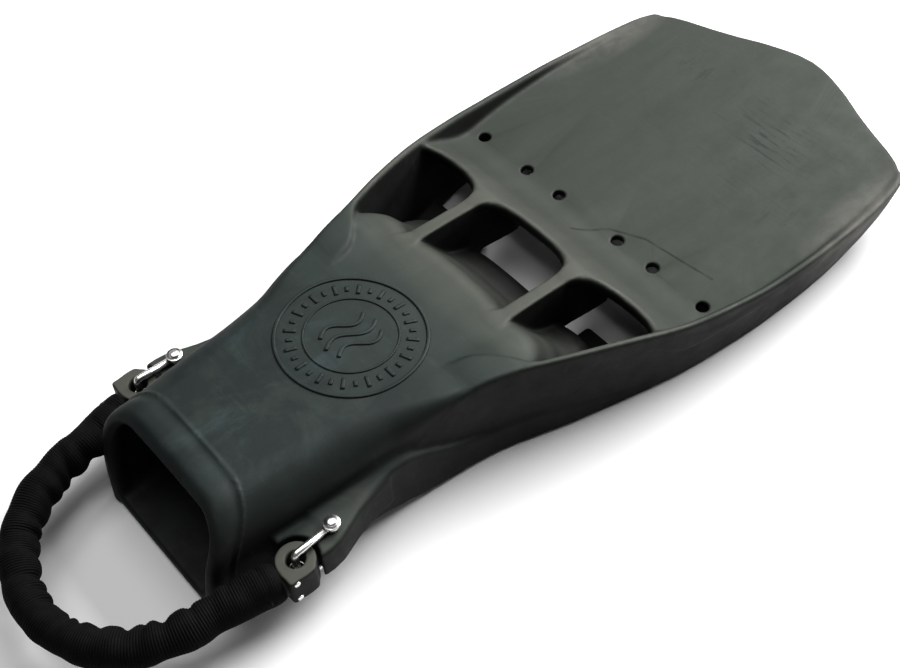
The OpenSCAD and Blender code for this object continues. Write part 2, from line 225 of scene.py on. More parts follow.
def rail(x, s, z):
    """A tall side rail with the lower band that swoops back from its foot to the lug."""
    crest, top, low = CREST(s), CREST_Z(s), FOOT_Z(s)
    drop = np.clip((top - z) / np.maximum(top - low, 1), 0, 1.2)
    draft = 7 * np.minimum(1, np.maximum(top - low, 0) / 40)
    outside = crest - draft * drop
    inside = crest - 5.5 - (4 + draft) * drop - 20 * (1 - step(205, 240, s))
    wall = meet(meet(x - outside, inside - x, 2), meet(z - top, low - z, 2), 3.5)
    wall = meet(wall, 96 - s, 4)
    band = meet(x - BAND_X(s), meet(z - BAND_TOP(s), BAND_LOW(s) - z, 3), 4)
    band = meet(band, 55 - x, 2)
    band = meet(meet(band, 74 - s, 4), s - 320, 4)
    return join(wall, band, 2.5)


def lug(x, s, z):
    """Strap lug with its hollow seat."""
    block = meet(outline(x, s, LUG), np.abs(z - EYE[2]) - LUG_HALF, 3)
    return cut(block, np.hypot(x - EYE[0], s - EYE[1]) - SEAT_R, 1.5)


def hollow(x, s, z):
    """The inside of the foot pocket, 7.5 mm under its top and 8 mm over the floor."""
    w = IN_WIDTH(s)
    room = meet(rounded_box(x, z, w, TOP(s) - 7.5, 20), flank(x, z, w, IN_BASE(s)), 12)
    room = meet(room, 8 - z, 9)
    return meet(room, s - 236 + 0.002 * x ** 2, 14)


def blade(x, s, z):
    """Blade and the raised bridge behind it, one sheet."""
    lift = 5 * np.minimum(x / 120, 1.1) ** 3 * (1 - step(322, 360, s))
    flat = np.sqrt(1 + (SHEET_TOP(s + 1) - SHEET_TOP(s)) ** 2)
    sheet = meet((z - (SHEET_TOP(s) - lift)) / flat, (SHEET_LOW(s) - lift - z) / flat, 1.5)
    sheet = meet(sheet, VENT(x) - s, 6)
    sheet = meet(sheet, (s - TIP(x)) * 0.9, 2.5)
    return meet(sheet, x - CREST(s) + 2.5, 2)


def rib(x, s, z):
    """A rib between two vents, waisted in the middle of its length."""
    off = np.abs(s - RIB_MID)
    waist = np.minimum(5.1 + 0.8 * (off / 36) ** 2 * (off < 60), 6.2)
    web = meet(np.abs(x - RIB_X) - waist, meet(z - RIB_TOP(s), RIB_LOW(s) - z, 2), 1.6)
    return meet(meet(web, 236 - s, 3), s - 440, 3)


def mould(x, s, z):
    """The rubber moulding; x is the distance from the middle plane."""
    outer = arch(x, s, z)
    sweep = MOUTH(z)
    mouth = (sweep - s) / np.sqrt(1 + (MOUTH(z + 1) - sweep) ** 2)
    body = join(toe(x, s, z, outer), rail(x, s, z), 7 - 4.5 * step(140, 175, s))
    body = join(body, lug(x, s, z), 4)
    body = meet(body, -z, 1)
    body = cut(body, hollow(x, s, z), 3)
    body = meet(body, mouth, 3)
    # rolled lip, and the fine ridge behind it
    bead = np.hypot((outer + 4.4) / 4.9, (mouth + 5.4) / 5.8) * 5.3 - 5.3
    body = join(body, meet(bead, 0.2 - z, 2), 3)
    ridge = np.hypot(outer - 0.1, mouth + 14.5) - 0.9
    body = join(body, meet(ridge, 12 - z, 2), 1.2)
    body = join(body, join(blade(x, s, z), rib(x, s, z), 3), 3.5)
    for hx in HOLES:
        body = cut(body, np.hypot(x - hx, s - HOLE_S) - HOLE_R, 0.9)
    return body


def net(field, xs, ys, zs):
    """Surface net of a sampled field: one point in each cell that the surface crosses, and quads."""
    inside = field < 0
    n = tuple(np.array(field.shape) - 1)
    count = np.zeros(n, np.int8)
    for a, b, c in np.ndindex(2, 2, 2):
        count += inside[a:a + n[0], b:b + n[1], c:c + n[2]]
    cells = np.argwhere((count > 0) & (count < 8))
    index = np.full(n, -1, np.int64)
    index[tuple(cells.T)] = np.arange(len(cells))
    # each point is the mean of the crossings on its cell's twelve edges
    total = np.zeros((len(cells), 3))
    hits = np.zeros(len(cells))
    for axis in range(3):
        others = [q for q in range(3) if q != axis]
        for a, b in np.ndindex(2, 2):
            corner = np.zeros(3, int)
            corner[others] = a, b
            along = np.zeros(3, int)
            along[axis] = 1
            p0 = cells + corner
            f0, f1 = field[tuple(p0.T)], field[tuple((p0 + along).T)]
            hit = (f0 < 0) != (f1 < 0)
            point = np.zeros((len(cells), 3)) + corner
            point[:, axis] = np.where(hit, f0 / np.where(f0 == f1, 1, f0 - f1), 0)
            total += point * hit[:, None]
            hits += hit
    points = cells + total / hits[:, None]
    points = np.stack([a[0] + points[:, i] * (a[1] - a[0]) for i, a in enumerate((xs, ys, zs))], 1)
    # one quad for each grid edge that the surface crosses
    quads = []
    for axis in range(3):
        u, v = [(1, 2), (2, 0), (0, 1)][axis]
        lo = [slice(1, -1)] * 3
        hi = list(lo)
        lo[axis], hi[axis] = slice(0, -1), slice(1, None)
        a, b = inside[tuple(lo)], inside[tuple(hi)]
        base = np.zeros(3, int)
        base[[u, v]] = 1
        for sign in (True, False):
            edges = np.argwhere((a != b) & (a == sign)) + base
            ring = []
            for du, dv in ((-1, -1), (0, -1), (0, 0), (-1, 0)):
                q = edges.copy()
                q[:, u] += du
                q[:, v] += dv
                ring.append(index[tuple(q.T)])
            quads.append(np.stack(ring if sign else ring[::-1], 1))
    return points, np.concatenate(quads)


def settle(points, f, rounds, reach):
    """Moves points onto the field's surface by Newton steps of at most reach."""
    h = 0.25
    for _ in range(rounds):
        x, y, z = points.T
        v = f(x, y, z)
        g = np.stack([f(x + h, y, z) - f(x - h, y, z), f(x, y + h, z) - f(x, y - h, z),
                      f(x, y, z + h) - f(x, y, z - h)], 1) / (2 * h)
        g2 = np.maximum((g ** 2).sum(1), 0.05)
        move = -g * (v / g2)[:, None]
        far = np.linalg.norm(move, axis=1)
        move *= np.minimum(1, reach / np.maximum(far, 1e-9))[:, None]
        points = points + move
    return points


def thin(obj, ratio):
    """Replaces a mesh by one with about this share of its triangles."""
    m = obj.modifiers.new("thin", "DECIMATE")
    m.ratio = ratio
    bpy.context.view_layer.objects.active = obj
    dg = bpy.context.evaluated_depsgraph_get()
    mesh = bpy.data.meshes.new_from_object(obj.evaluated_get(dg))
    obj.modifiers.clear()
    old = obj.data
    obj.data = mesh
    bpy.data.meshes.remove(old)


def mould_mesh(pitch):
    """The moulding as points and quads: one half is sampled and mirrored, then the points settle."""
    half = np.arange(0, 140 + pitch, pitch) + pitch / 2
    ys = np.arange(-4, 617, pitch * 1.05)
    zs = np.arange(-2.7, 98, pitch * 0.97)
    f = mould(half[:, None, None], ys[None, :, None], zs[None, None, :]).astype(np.float32)
    f = np.concatenate([f[::-1], f])
    xs = np.concatenate([-half[::-1], half])
    points, quads = net(f, xs, ys, zs)
    points = settle(points, lambda x, y, z: mould(np.abs(x), y, z), 3, pitch)
    points[:, 2] = np.maximum(points[:, 2], 0)
    return points, quads


def ring_mesh(rings, close=False, caps=False):
    """Points and quads for a list of closed rings that all have the same number of points.

    close joins the last ring to the first one; caps fills the first and the last."""
    rings = np.asarray(rings, float)
    m, n = rings.shape[:2]
    i = np.arange(n)
    k = (i + 1) % n
    faces = []
    for j in range(m if close else m - 1):
        a, b = j * n, ((j + 1) % m) * n
        faces.append(np.stack([a + i, a + k, b + k, b + i], 1))
    faces = [tuple(q) for q in np.concatenate(faces)]
    if caps:
        faces.append(tuple(range(n))[::-1])
        faces.append(tuple(range((m - 1) * n, m * n)))
    return rings.reshape(-1, 3), faces


def tube(path, radius, sides):
    """A round rod along a path, with its ends filled."""
    path = np.asarray(path, float)
    d = np.gradient(path, axis=0)
    d /= np.linalg.norm(d, axis=1)[:, None]
    n = np.cross(d[0], (0, 0, 1))
    if np.linalg.norm(n) < 1e-6:
        n = np.array([1.0, 0, 0])
    a = np.linspace(0, 2 * math.pi, sides, endpoint=False)
    rings = []
    for p, t in zip(path, d):
        n = n - t * (n @ t)
        n /= np.linalg.norm(n)
        rings.append(p + radius * (np.cos(a)[:, None] * n + np.sin(a)[:, None] * np.cross(t, n)))
    return ring_mesh(rings, caps=True)


def lathe(profile, centre, axis="z", sides=40, close=False):
    """A turned shape: profile is (radius, height) from one end to the other, or round a ring."""
    a = np.linspace(0, 2 * math.pi, sides, endpoint=False)
    rings = []
    for r, h in profile:
        c, s, k = r * np.cos(a), r * np.sin(a), np.full(sides, h)
        rings.append(np.stack({"z": (c, s, k), "x": (k, c, s)}[axis], 1) + centre)
    return ring_mesh(rings, close=close, caps=not close)


def merged(*parts):
    """Several point-and-face pairs as one."""
    verts, faces, base = [], [], 0
    for v, f in parts:
        verts.append(v)
        faces += [tuple(int(i) + base for i in q) for q in f]
        base += len(v)
    return np.concatenate(verts), faces


def mirrored(part, side):
    """A part made on the right, moved to the left where side is -1."""
    v, f = part
    if side > 0:
        return v, f
    return v * [-1, 1, 1], [tuple(q)[::-1] for q in f]


def rounded(points, radius):
    """A path through points with its corners rounded off."""
    points = [np.array(p, float) for p in points]
    out = [points[0]]
    for a, b, c in zip(points, points[1:], points[2:]):
        u, v = (a - b) / np.linalg.norm(a - b), (c - b) / np.linalg.norm(c - b)
        p, q = b + u * radius, b + v * radius
        for t in np.linspace(0, 1, 8):
            out.append((1 - t) ** 2 * p + 2 * t * (1 - t) * b + t ** 2 * q)
    return np.array(out + [points[-1]])


# ---------------------------------------------------------------- materials

class Nodes:
    """A small helper for node materials."""

    def __init__(self, name):
        self.mat = bpy.data.materials.new(name)
        self.mat.use_nodes = True
        self.tree = self.mat.node_tree
        self.bsdf = self.tree.nodes["Principled BSDF"]
        self.place = self.add("ShaderNodeTexCoord").outputs["Object"]

    def add(self, kind, **values):
        node = self.tree.nodes.new(kind)
        for k, v in values.items():
            setattr(node, k, v)
        return node

    def link(self, a, b):
        self.tree.links.new(a, b)

    def noise(self, scale, detail=4, rough=0.55, stretch=None, distortion=0.0):
        n = self.add("ShaderNodeTexNoise")
        n.inputs["Scale"].default_value = scale
        n.inputs["Detail"].default_value = detail
        n.inputs["Roughness"].default_value = rough
        n.inputs["Distortion"].default_value = distortion
        src = self.place
        if stretch:
            m = self.add("ShaderNodeMapping")
            m.inputs["Scale"].default_value = stretch[:3]
            if len(stretch) > 3:
                m.inputs["Rotation"].default_value = (0, 0, math.radians(stretch[3]))
            self.link(self.place, m.inputs["Vector"])
            src = m.outputs[0]
        self.link(src, n.inputs["Vector"])
        return n.outputs["Fac"]

    def ramp(self, src, stops):
        r = self.add("ShaderNodeValToRGB")
        e = r.color_ramp.elements
        while len(e) < len(stops):
            e.new(0.5)
        for q, (p, c) in zip(e, stops):
            q.position = p
            q.color = (c, c, c, 1) if isinstance(c, (int, float)) else (*c, 1)
        self.link(src, r.inputs[0])
        return r.outputs["Color"]

    def math(self, op, a, b=None):
        m = self.add("ShaderNodeMath", operation=op)
        for i, v in enumerate((a, b)):
            if v is None:
                continue
            if isinstance(v, (int, float)):
                m.inputs[i].default_value = v
            else:
                self.link(v, m.inputs[i])
        return m.outputs[0]

    def times(self, first, *others):
        for other in others:
            first = self.math("MULTIPLY", first, other)
        return first

    def axes(self, src=None):
        """The x, y and z of a vector, by default the object's own coordinates in metres."""
        p = self.add("ShaderNodeSeparateXYZ")
        self.link(self.place if src is None else src, p.inputs[0])
        return p.outputs

    def span(self, src, values, kind="LINEAR"):
        """Maps src from between the first two values to between the last two."""
        m = self.add("ShaderNodeMapRange", interpolation_type=kind)
        for i, v in enumerate(values, 1):
            m.inputs[i].default_value = v
        self.link(src, m.inputs[0])
        return m.outputs[0]

    def mix(self, fac, a, b):
        m = self.add("ShaderNodeMix", data_type="RGBA")
        for i, v in ((0, fac), (6, a), (7, b)):
            if isinstance(v, (int, float)):
                m.inputs[i].default_value = v
            elif isinstance(v, tuple):
                m.inputs[i].default_value = (*v, 1)
            else:
                self.link(v, m.inputs[i])
        return m.outputs[2]

    def bump(self, height, strength, distance, before=None):
        b = self.add("ShaderNodeBump")
        b.inputs["Strength"].default_value = strength
        b.inputs["Distance"].default_value = distance
        self.link(height, b.inputs["Height"])
        if before is not None:
            self.link(before, b.inputs["Normal"])
        return b.outputs[0]

    def near(self, ax, ay, bx, by, width):
        """1 on the line from a to b on the fin's plan, in x and s, falling to 0 at width from it."""
        ax, ay, bx, by = (v / 1000 for v in (ax, ay - MID, bx, by - MID))
        ln = math.hypot(bx - ax, by - ay)
        ux, uy = (bx - ax) / ln, (by - ay) / ln
        p = self.axes()
        dx = self.math("SUBTRACT", p[0], ax)
        dy = self.math("SUBTRACT", p[1], ay)
        t = self.math("ADD", self.times(dx, ux), self.times(dy, uy))
        k = self.math("MINIMUM", self.math("MAXIMUM", t, 0.0), ln)
        ox = self.math("SUBTRACT", dx, self.times(k, ux))
        oy = self.math("SUBTRACT", dy, self.times(k, uy))
        d = self.math("SQRT", self.math("ADD", self.times(ox, ox), self.times(oy, oy)))
        share = self.math("DIVIDE", d, width / 1000)
        return self.math("SUBTRACT", 1.0, self.math("MINIMUM", share, 1.0))

    def blob(self, x, s, rx, rs, strength=1.0):
        """Strength in the middle of an oval patch of the fin's plan, fading to 0 at its edge."""
        p = self.axes()
        dx = self.math("DIVIDE", self.math("SUBTRACT", p[0], x / 1000), rx / 1000)
        dy = self.math("DIVIDE", self.math("SUBTRACT", p[1], (s - MID) / 1000), rs / 1000)
        d = self.math("ADD", self.times(dx, dx), self.times(dy, dy))
        return self.times(self.math("MAXIMUM", self.math("SUBTRACT", 1.0, d), 0.0), strength)

    def out(self, colour=None, rough=None, normal=None, metallic=0.0, **fixed):
        b = self.bsdf.inputs
        b["Metallic"].default_value = metallic
        for k, v in (("Base Color", colour), ("Roughness", rough), ("Normal", normal)):
            if v is None:
                continue
            if isinstance(v, (int, float)):
                b[k].default_value = v
            elif isinstance(v, tuple):
                b[k].default_value = (*v, 1)
            else:
                self.link(v, b[k])
        for k, v in fixed.items():
            b[k.replace("_", " ")].default_value = v
        return self.mat


def rubber(name):
    """Dark rubber with dust and painted top light on the faces that look up; gives the parts that more marks
    are laid on.
    """
    n = Nodes(name)
    cloud = n.ramp(n.noise(9, 5, 0.6), [(0.3, 0.0), (0.72, 1.0)])
    colour = n.mix(cloud, (0.0055, 0.0062, 0.0055), (0.0095, 0.0108, 0.0092))
    up = n.axes(n.add("ShaderNodeNewGeometry").outputs["Normal"])[2]
    streak = n.ramp(n.noise(14, 5, 0.62, (3.2, 0.55, 1, 12)), [(0.25, 0.7), (0.75, 1.0)])
    # lighter where a face looks up: partly dust, partly painted top light
    dust_and_top_light = n.times(n.math("POWER", n.math("MAXIMUM", up, 0.0), 2.5), streak)
    # more dust and painted light towards the blade than on the foot pocket
    ahead = n.span(n.axes()[1], (-0.09, 0.0, 0.5, 0.95), "SMOOTHSTEP")
    return n, colour, dust_and_top_light, ahead


def rubber_end(n, colour, height):
    """Soft dents, fine relief and a satin surface."""
    normal = n.bump(n.noise(34, 3, 0.5), 0.25, 0.0012)
    normal = n.bump(height, 0.22, 0.0003, normal)
    rough = n.ramp(n.noise(55, 5, 0.65), [(0.3, 0.50), (0.75, 0.68)])
    return n.out(colour, rough, normal, Specular_IOR_Level=0.14)


def pale_dust_highlight_and_specks(n, colour, dust_and_top_light, pale_dust_and_light):
    """Paler dust and painted top light where they are strong, a painted highlight on the rail ends, and
    specks.
    """
    # paler colour where dust and painted light are strong
    colour = n.mix(n.times(dust_and_top_light, pale_dust_and_light, 0.75), colour, (0.064, 0.066, 0.056))
    # painted highlight on the ends of both rails near the tip
    ends = n.math("MAXIMUM", n.blob(132, 520, 26, 80), n.blob(-132, 520, 26, 80))
    ends = n.times(ends, n.ramp(n.noise(60, 5, 0.65, (1, 0.5, 2.2)), [(0.35, 0.25), (0.65, 1.0)]))
    colour = n.mix(n.times(ends, 0.8), colour, (0.085, 0.082, 0.074))
    speck = n.ramp(n.noise(620, 2, 0.5), [(0.66, 0.0), (0.78, 1.0)])
    return n.mix(n.times(speck, 0.10), colour, (0.07, 0.07, 0.065))


def strap_rubber():
    n, colour, dust_and_top_light, ahead = rubber("strap_rubber")
    # dust and painted top light on faces that look up, more towards the blade
    colour = n.mix(n.times(dust_and_top_light, ahead), colour, (0.036, 0.038, 0.030))
    return rubber_end(n, pale_dust_highlight_and_specks(n, colour, dust_and_top_light, 1.0), n.noise(260, 3, 0.6))


# the fin's rubber: dust, wear and stains, with painted light and painted shade
def dusty_rubber_painted_light():
    n, colour, dust_and_top_light, ahead = rubber("dusty_rubber_painted_light")
    z = n.axes()[2]
    # neither dust nor painted top light low down in the pocket, which keeps its floor dark as painted shade
    dust_and_top_light = n.times(dust_and_top_light, n.span(z, (0.012, 0.03, 0.0, 1.0)))
    # dust and painted top light: bluish on the foot pocket, warmer towards the blade
    tone = n.mix(ahead, (0.023, 0.044, 0.044), (0.033, 0.0375, 0.031))
    colour = n.mix(n.times(dust_and_top_light, ahead), colour, tone)
    # painted light with paler dust on the toe, the bridge and the lugs, and painted shade down in the vents
    pale_dust_and_light = n.blob(0, 296, 190, 82)
    for side in (-1, 1):
        pale_dust_and_light = n.math("MAXIMUM", pale_dust_and_light, n.blob(side * 90, 88, 22, 48, 2.2))
    high = n.span(z, (0.038, 0.058, 0.0, 1.0))
    # painted shade low down round the vents, under the bridge
    vent_painted_shade = n.times(n.blob(0, 280, 112, 36, 1.6), n.math("SUBTRACT", 1.0, high))
    colour = n.mix(n.math("MINIMUM", vent_painted_shade, 0.8), colour, (0.006, 0.0065, 0.006))
    colour = pale_dust_highlight_and_specks(n, colour, dust_and_top_light, n.times(n.math("MINIMUM", pale_dust_and_light, 1.0), high))
    # bluish rubbed patches and dull ones on the foot pocket, and pale smears all over
    rub = n.ramp(n.noise(26, 6, 0.68, (1.6, 0.7, 1, 35)), [(0.5, 0.0), (0.66, 1.0)])
    rub = n.times(n.blob(-10, 95, 85, 110), rub, 0.5)
    colour = n.mix(rub, colour, (0.030, 0.046, 0.050))
    dull = n.ramp(n.noise(17, 6, 0.7, (1, 1, 1), 0.8), [(0.42, 1.0), (0.58, 0.0)])
    dull = n.math("MINIMUM", n.times(n.blob(0, 90, 95, 130, 1.5), dull), 1.0)
    colour = n.mix(n.times(dull, 0.68), colour, (0.009, 0.0125, 0.0125))
    smear = n.ramp(n.noise(40, 6, 0.7, (0.5, 2.6, 1, 20)), [(0.6, 0.0), (0.72, 1.0)])
    colour = n.mix(n.times(smear, 0.13), colour, (0.065, 0.068, 0.06))
    # long fine scratches and rubbed stains on the blade
    scratch = n.ramp(n.noise(36, 3, 0.5, (0.35, 9.0, 1, -38), 0.6), [(0.64, 0.0), (0.69, 1.0)])
    scratch = n.times(scratch, n.blob(40, 520, 80, 62))
    stain = n.ramp(n.noise(70, 5, 0.7, (0.45, 3.2, 1, -35), 0.2), [(0.53, 0.0), (0.62, 1.0)])
    stain = n.times(stain, n.blob(45, 522, 48, 34))
    colour = n.mix(n.times(n.math("MAXIMUM", scratch, stain), 0.7), colour, (0.007, 0.0075, 0.007))
    stain = n.ramp(n.noise(60, 5, 0.7, (2.2, 0.6, 1, 25)), [(0.55, 0.0), (0.66, 1.0)])
    stain = n.times(stain, n.math("MAXIMUM", n.blob(96, 468, 26, 40), n.blob(-55, 545, 60, 20)), 0.5)
    colour = n.mix(stain, colour, (0.009, 0.0095, 0.009))
    # one thin crease across the blade root, darkened by painted shade along it
    line = n.near(2, 352, 18, 373, 1.5)
    for ends in ((18, 373, 42, 385), (42, 385, 74, 389), (74, 389, 98, 392)):
        line = n.math("MAXIMUM", line, n.near(*ends, 1.5))
    shaded_crease = n.times(line, n.ramp(n.noise(90, 3, 0.5), [(0.3, 0.35), (0.55, 1.0)]))
    # painted shade in the crease
    colour = n.mix(n.times(shaded_crease, 0.85), colour, (0.004, 0.0045, 0.004))
    return rubber_end(n, colour, n.math("SUBTRACT", n.noise(260, 3, 0.6), n.times(shaded_crease, 1.5)))


def steel(name, tone, gloss):
    n = Nodes(name)
    smear = n.noise(140, 4, 0.6)
    colour = n.mix(n.ramp(smear, [(0.35, 0.0), (0.8, 1.0)]), (tone, tone, tone * 0.985),
                   (tone * 0.8, tone * 0.79, tone * 0.77))
    rough = n.ramp(smear, [(0.3, gloss), (0.8, gloss + 0.14)])
    drawn = n.noise(900, 3, 0.6, (1, 1, 0.12))
    return n.out(colour, rough, n.bump(drawn, 0.10, 0.0001), 1.0)


def webbing(name):
    """Ribbed cloth; the sleeve's UV counts ribs along it and turns round it."""
    n = Nodes(name)
    uv = n.axes(n.add("ShaderNodeTexCoord").outputs["UV"])
    along = n.times(uv[0], 2 * math.pi)
    round_ = n.times(uv[1], 2 * math.pi * YARNS)
    twist = n.math("ADD", round_, n.times(along, 0.5))
    rib, yarn = (n.math("ADD", n.times(n.math("SINE", angle), 0.5), 0.5) for angle in (along, twist))
    weave = n.math("ADD", n.times(rib, 0.75), n.times(yarn, 0.25))
    fuzz = n.noise(420, 4, 0.7)
    colour = n.mix(weave, (0.0016, 0.0016, 0.0018), (0.0062, 0.0062, 0.0066))
    dusty = n.ramp(n.noise(70, 5, 0.65), [(0.45, 0.0), (0.8, 1.0)])
    colour = n.mix(n.times(dusty, 0.5), colour, (0.010, 0.010, 0.0095))
    rough = n.ramp(fuzz, [(0.3, 0.7), (0.8, 0.9)])
    normal = n.bump(fuzz, 0.3, 0.0002, n.bump(weave, 0.55, 0.0006))
    return n.out(colour, rough, normal, Sheen_Weight=0.01, Sheen_Roughness=0.4, Specular_IOR_Level=0.05)


# the sleeve's ribs are this far apart, and have this many yarns round them
RIB_PITCH, YARNS = 1.7, 60
RUBBER = dusty_rubber_painted_light()
STRAP_RUBBER = strap_rubber()
POLISHED = steel("polished_steel", 0.88, 0.22)
RIVET = steel("rivet_steel", 0.80, 0.2)
WIRE = steel("spring_steel", 0.62, 0.24)
CLOTH = webbing("ribbed_nylon")

# ---------------------------------------------------------------- the rubber moulding

points, quads = mould_mesh(1.5)
fin = make("fin_moulding", points, quads, None, RUBBER)
# keeps the piece under the 200,000 triangles that the export allows
thin(fin, 0.42)
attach(fin, "fin")
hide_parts("pocket_upper", "toe_cap", "pocket_lip", "sole_plate", "vent_ramp", "vent_bridge", "blade_panel",
            "rail_left", "rail_right", "vent_rib_left", "vent_rib_right", "strap_lug_left", "strap_lug_right")

# ---------------------------------------------------------------- raised emblem on the pocket top


def pocket_z(x, s):
    """Height of the pocket's top face."""
    z = np.full(np.shape(x), 84.0)
    for _ in range(8):
        z = z - np.clip(mould(np.abs(x), s, z), -3, 3)
    return z


def raised(path, width, height, closed=False):
    """A low rounded ridge along a plan path on the pocket top."""
    path = np.asarray(path, float)
    if closed:
        d = np.roll(path, -1, 0) - np.roll(path, 1, 0)
    else:
        d = np.gradient(path, axis=0)
    d /= np.linalg.norm(d, axis=1)[:, None]
    n = np.stack([-d[:, 1], d[:, 0]], 1)
    # shares of the width and of the height; the two edges are sunk by 0.9 mm
    profile = [(-0.62, -0.9), (-0.5, 0.15), (-0.4, 0.8), (-0.25, 1.0), (0.25, 1.0), (0.4, 0.8),
               (0.5, 0.15), (0.62, -0.9)]
    rings = []
    for a, h in profile:
        p = path + n * a * width
        z = pocket_z(p[:, 0], p[:, 1]) + (h * height if h > 0 else h)
        rings.append(np.stack([p[:, 0], p[:, 1], z], 1))
    return ring_mesh(np.stack(rings, 1), close=closed, caps=not closed)


EMBLEM = (0.0, 162.0)
TICKS = 32
WAVE = 4.6
a = np.linspace(0, 2 * math.pi, 180, endpoint=False)
circle = np.stack([np.cos(a), np.sin(a)], 1)
parts = [raised(circle * 48.6 + EMBLEM, 2.6, 1.1, True), raised(circle * 30.5 + EMBLEM, 1.6, 0.8, True)]
for i in range(TICKS):
    t = 2 * math.pi * i / TICKS
    u = np.array([math.cos(t), math.sin(t)])
    r0, r1 = (37.0, 41.0) if i % 2 else (35.0, 43.0)
    parts.append(raised([u * r + EMBLEM for r in np.linspace(r0, r1, 6)], 2.8, 0.9))
for off, share in ((-9.5, 0.86), (0.0, 1), (9.5, 0.86)):
    s = np.linspace(-20, 20, 41) * share
    x = WAVE * np.sin(s / 20 * math.pi / share) + off
    parts.append(raised(np.stack([x, s], 1) + EMBLEM, 2.8, 0.95))
v, f = merged(*parts)
make("emblem", v, f, "fin", RUBBER, ["emblem_ring"])

# ---------------------------------------------------------------- strap hardware

SIDES = (("left", -1), ("right", 1))


def link_wire():
    """A bright wire link: a leg through the strap end's eye and an arm to each end of the lug pin."""
    px, ps = PIN
    ex, es = EYE[:2]
    u = np.array([ex - px, es - ps]) / math.hypot(ex - px, es - ps)
    start = np.array([px, ps]) + u * 3.9
    corners = [(*start, ARM_HIGH), (ex, es, ARM_HIGH), (ex, es, ARM_LOW), (*start, ARM_LOW)]
    ring = [(2.56, -1.9), (2.8, -2.15), (4.3, -2.15), (4.75, -1.6), (4.8, 0), (4.75, 1.6), (4.3, 2.15),
            (2.8, 2.15), (2.56, 1.9)]
    eyes = [lathe(ring, (px, ps, z), close=True) for z in (ARM_LOW, ARM_HIGH)]
    return merged(tube(rounded(corners, 3.2), 2.4, 20), *eyes)


def pin_shape():
    """The upright lug pin with a flange and a dome beyond each arm."""
    low, high = ARM_LOW - 2.35, ARM_HIGH + 2.35
    dome = [(3.5, 0.9), (3.45, 1.4), (3.1, 2.0), (2.4, 2.5), (1.4, 2.75), (0.01, 2.8)]
    profile = [(r, low - h) for r, h in reversed(dome)]
    profile += [(5.2, low - 0.9), (5.5, low - 0.65), (5.5, low - 0.2), (5.3, low), (2.5, low), (2.5, high),
                (5.3, high), (5.5, high + 0.2), (5.5, high + 0.65), (5.2, high + 0.9)]
    profile += [(r, high + h) for r, h in dome]
    return lathe(profile, (*PIN, 0))


def strap_end_field(x, s, z):
    """Folded strap end round its own eye, before it is put in place."""
    r = np.hypot(x, s)
    # the round of the fold, and the square pad on its outer side
    plan = join(r - 12.7, rounded_box(np.abs(x - 7.3), np.abs(s + 3.3), 5.5, 9.5, 2.2), 2.5)
    d = meet(plan, np.abs(z) - 11.4, 1.6)
    # the neck that goes into the sleeve
    d = join(d, meet(np.hypot(x, z) - 9.7, np.abs(s + 16) - 10, 1), 2)
    # the eye, flared at its two ends, and the bore for the coil
    d = cut(d, (r - 5.5 - np.maximum(np.abs(z) - 9.8, 0) * 0.6) * 0.85, 0.8)
    return cut(d, meet(np.hypot(x, z) - 7.6, s + 2, 0.5), 0.8)


def strap_end_shape():
    h = 0.62
    xs, ys, zs = np.arange(-14.5, 15, h), np.arange(-28, 15, h), np.arange(-13, 13.2, h)
    f = strap_end_field(xs[:, None, None], ys[None, :, None], zs[None, None, :])
    p, q = net(f, xs, ys, zs)
    return settle(p, strap_end_field, 2, 0.4) + EYE, q


def rivets():
    """Two domed rivets on the strap end's outer face."""
    dome = [(1.3, 8.8), (1.3, 12.4), (2.1, 12.55), (2.25, 12.75), (2.0, 13.1), (1.3, 13.4), (0.01, 13.5)]
    return merged(*(lathe(dome, EYE + [0, -8.2, z], "x", 24) for z in (-8, 8)))


def hook():
    """The spring's end, bent to a loop round the link's leg."""
    a = np.linspace(math.radians(-90), math.radians(250), 60)
    loop = np.stack([4.72 * np.cos(a), 4.72 * np.sin(a), np.linspace(-0.7, 0.7, 60)], 1)
    tail = [(0.2, -6.0, -0.9), (0.2, -9.0, -1.2), (0.2, -12.0, -1.2)]
    path = np.concatenate([np.array(tail[::-1]), loop]) + EYE
    return tube(path, 0.6, 10)


end_mesh = strap_end_shape()
for name, side in SIDES:
    v, f = mirrored(link_wire(), side)
    make("link_" + name + "_wire", v, f, "link_" + name, POLISHED, ["link_" + name])
    v, f = mirrored(pin_shape(), side)
    make("lug_pin_" + name + "_turned", v, f, "fin", POLISHED, ["lug_pin_" + name])
    v, f = mirrored(end_mesh, side)
    make("strap_end_" + name + "_folded", v, f, "strap", STRAP_RUBBER,
         ["strap_end_" + name])
    v, f = mirrored(rivets(), side)
    make("end_rivets_" + name + "_domed", v, f, "strap", RIVET, ["end_rivets_" + name])
    v, f = mirrored(hook(), side)
    make("spring_hook_" + name + "_bent", v, f, "strap", WIRE, ["spring_hook_" + name])

# ---------------------------------------------------------------- coil spring and its gathered sleeve


